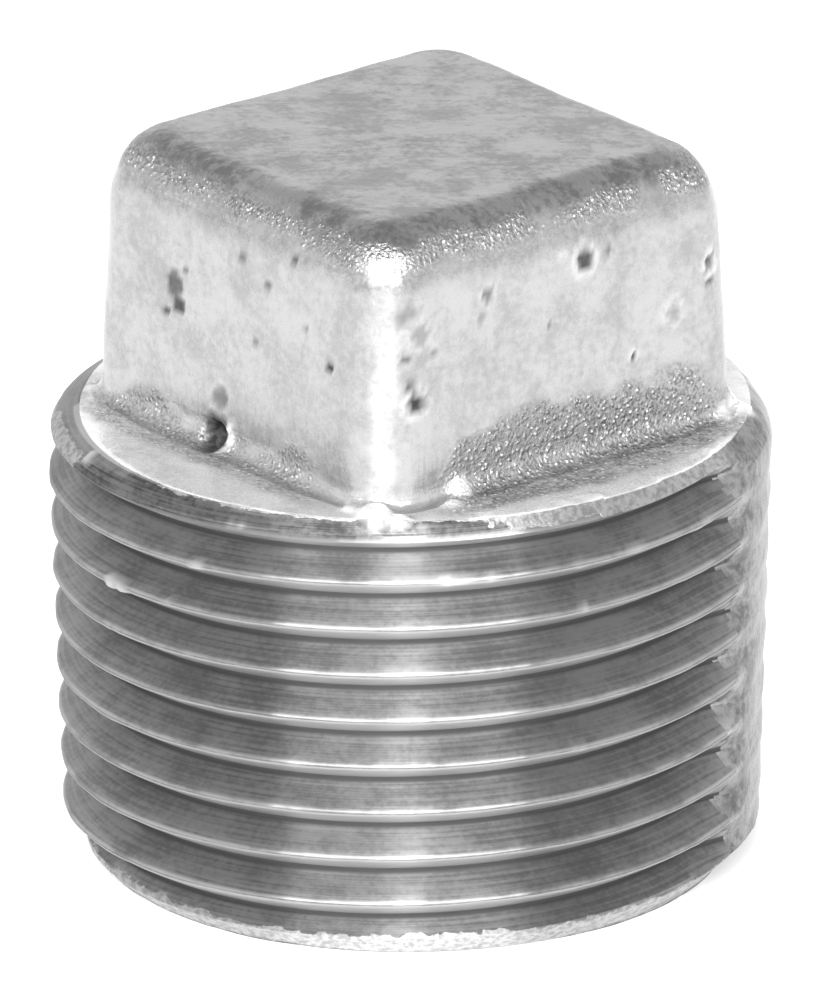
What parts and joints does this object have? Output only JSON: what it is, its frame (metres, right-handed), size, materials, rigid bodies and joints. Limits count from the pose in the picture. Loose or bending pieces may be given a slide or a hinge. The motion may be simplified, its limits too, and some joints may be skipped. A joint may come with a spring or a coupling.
{
  "type": "square-head pipe plug",
  "caption": "Galvanised cast-iron pipe plug with a square head and an external taper pipe thread, hollow underneath.",
  "frame": {"origin": "centre of the open bottom end, on the thread's axis", "axes": "+Z along the thread's axis towards the square head; +X and +Y square to two neighbouring head flats"},
  "size_m": [0.0267, 0.0267, 0.0277],
  "materials": {
    "galvanised_iron": "hot-dip galvanised casting, mottled satin grey, with the thread cut through the zinc to dull bright iron"
  },
  "bodies": {
    "root": {"plug_body": "galvanised_iron"}
  },
  "joints": []
}
